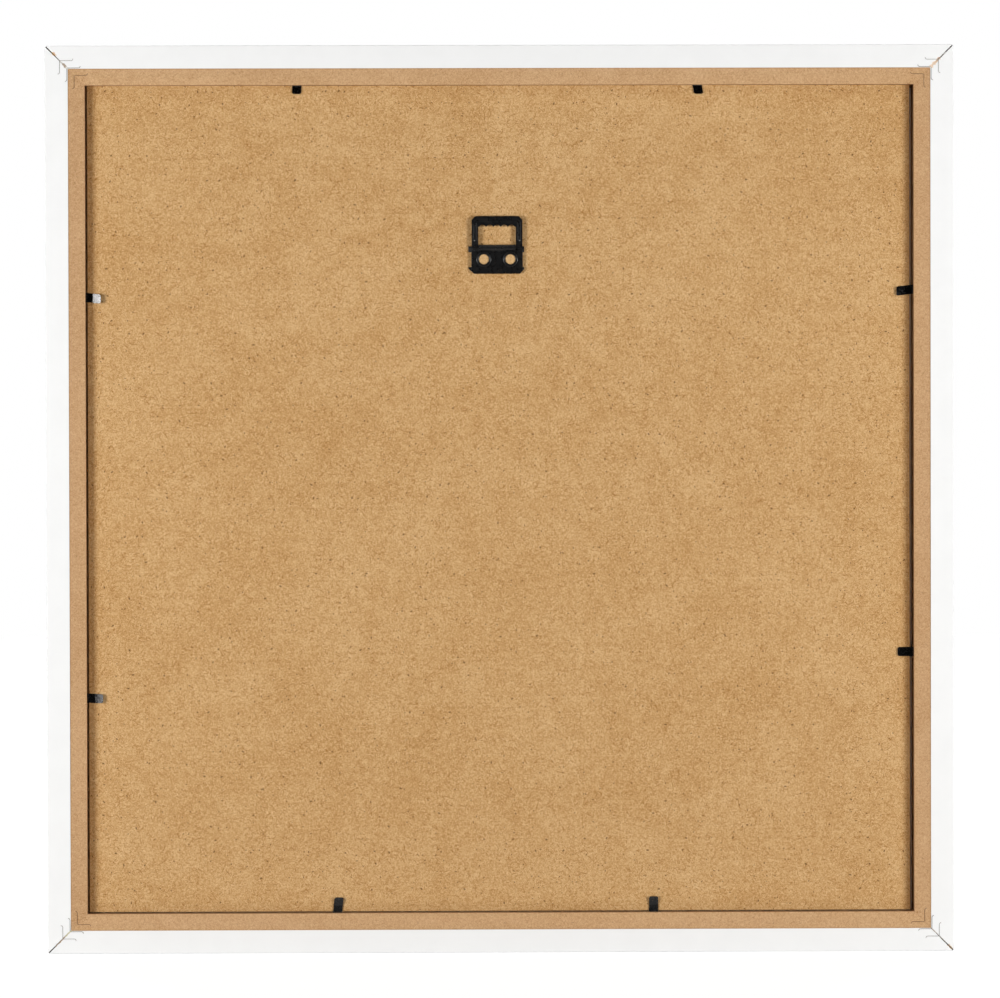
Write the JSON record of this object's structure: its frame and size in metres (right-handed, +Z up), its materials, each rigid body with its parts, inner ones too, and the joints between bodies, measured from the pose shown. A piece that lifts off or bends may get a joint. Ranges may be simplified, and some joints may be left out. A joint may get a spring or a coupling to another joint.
{
  "type": "picture frame",
  "caption": "Square picture frame of white-wrapped MDF moulding, built from behind: mitred rails with V-nails, loose backboard held by bend-up points, toothed swinging hanger.",
  "frame": {"origin": "the middle notch of the hanger's toothed bar, where the wall's nail carries the frame", "axes": "+Y from the front face to the back, towards the wall; +Z up; +X is to the left as seen from behind"},
  "size_m": [0.55, 0.018, 0.55],
  "materials": {
    "raw_mdf": "bare milled fibreboard",
    "white_foil": "satin white wrap",
    "board_mdf": "bare thin fibreboard with fine fibres",
    "clear_glass": "clear float glass with seamed edges",
    "blank_paper": "plain uncoated card",
    "nail_steel": "dull rolled strip",
    "point_steel": "dark blued spring strip",
    "black_steel": "black satin coated pressing"
  },
  "bodies": {
    "frame": {"rail_top": "raw_mdf", "rail_bottom": "raw_mdf", "rail_left": "raw_mdf", "rail_right": "raw_mdf", "foil_top": "white_foil", "foil_bottom": "white_foil", "foil_left": "white_foil", "foil_right": "white_foil", "vnail_top_left_1": "nail_steel", "vnail_top_left_2": "nail_steel", "vnail_top_left_3": "nail_steel", "vnail_top_right_1": "nail_steel", "vnail_top_right_2": "nail_steel", "vnail_top_right_3": "nail_steel", "vnail_bottom_left_1": "nail_steel", "vnail_bottom_left_2": "nail_steel", "vnail_bottom_left_3": "nail_steel", "vnail_bottom_right_1": "nail_steel", "vnail_bottom_right_2": "nail_steel", "vnail_bottom_right_3": "nail_steel", "glass_pane": "clear_glass", "picture_sheet": "blank_paper", "backboard": "board_mdf", "hanger_base": "black_steel", "hanger_rivet_left": "black_steel", "hanger_rivet_right": "black_steel", "tang_top_left": "point_steel", "tang_top_right": "point_steel", "tang_bottom_left": "point_steel", "tang_bottom_right": "point_steel", "tang_left_upper": "point_steel", "tang_left_lower": "point_steel", "tang_right_upper": "point_steel", "tang_right_lower": "point_steel"},
    "loop": {"hanger_loop": "black_steel"},
    "point_top_left": {"tab_top_left": "point_steel"},
    "point_top_right": {"tab_top_right": "point_steel"},
    "point_bottom_left": {"tab_bottom_left": "point_steel"},
    "point_bottom_right": {"tab_bottom_right": "point_steel"},
    "point_left_upper": {"tab_left_upper": "point_steel"},
    "point_left_lower": {"tab_left_lower": "point_steel"},
    "point_right_upper": {"tab_right_upper": "point_steel"},
    "point_right_lower": {"tab_right_lower": "point_steel"}
  },
  "joints": [
    {"name": "hanger_swing", "type": "hinge", "parent": "frame", "child": "loop", "pos_m": [0, 0, -0.01385], "axis": [-1, 0, 0], "range_deg": [-3, 160]},
    {"name": "bend_top_left", "type": "hinge", "parent": "frame", "child": "point_top_left", "pos_m": [0.1211, -0.00145, 0.08375], "axis": [1, 0, 0], "range_deg": [0, 80]},
    {"name": "bend_top_right", "type": "hinge", "parent": "frame", "child": "point_top_right", "pos_m": [-0.1217, -0.00145, 0.08375], "axis": [1, 0, 0], "range_deg": [0, 80]},
    {"name": "bend_bottom_left", "type": "hinge", "parent": "frame", "child": "point_bottom_left", "pos_m": [0.0978, -0.00145, -0.41665], "axis": [-1, 0, 0], "range_deg": [0, 80]},
    {"name": "bend_bottom_right", "type": "hinge", "parent": "frame", "child": "point_bottom_right", "pos_m": [-0.0942, -0.00145, -0.41665], "axis": [-1, 0, 0], "range_deg": [0, 80]},
    {"name": "bend_left_upper", "type": "hinge", "parent": "frame", "child": "point_left_upper", "pos_m": [0.2486, -0.00145, -0.04355], "axis": [0, 0, -1], "range_deg": [0, 80]},
    {"name": "bend_left_lower", "type": "hinge", "parent": "frame", "child": "point_left_lower", "pos_m": [0.2486, -0.00145, -0.28655], "axis": [0, 0, -1], "range_deg": [0, 80]},
    {"name": "bend_right_upper", "type": "hinge", "parent": "frame", "child": "point_right_upper", "pos_m": [-0.2518, -0.00145, -0.03965], "axis": [0, 0, 1], "range_deg": [0, 80]},
    {"name": "bend_right_lower", "type": "hinge", "parent": "frame", "child": "point_right_lower", "pos_m": [-0.2518, -0.00145, -0.25965], "axis": [0, 0, 1], "range_deg": [0, 80]}
  ]
}
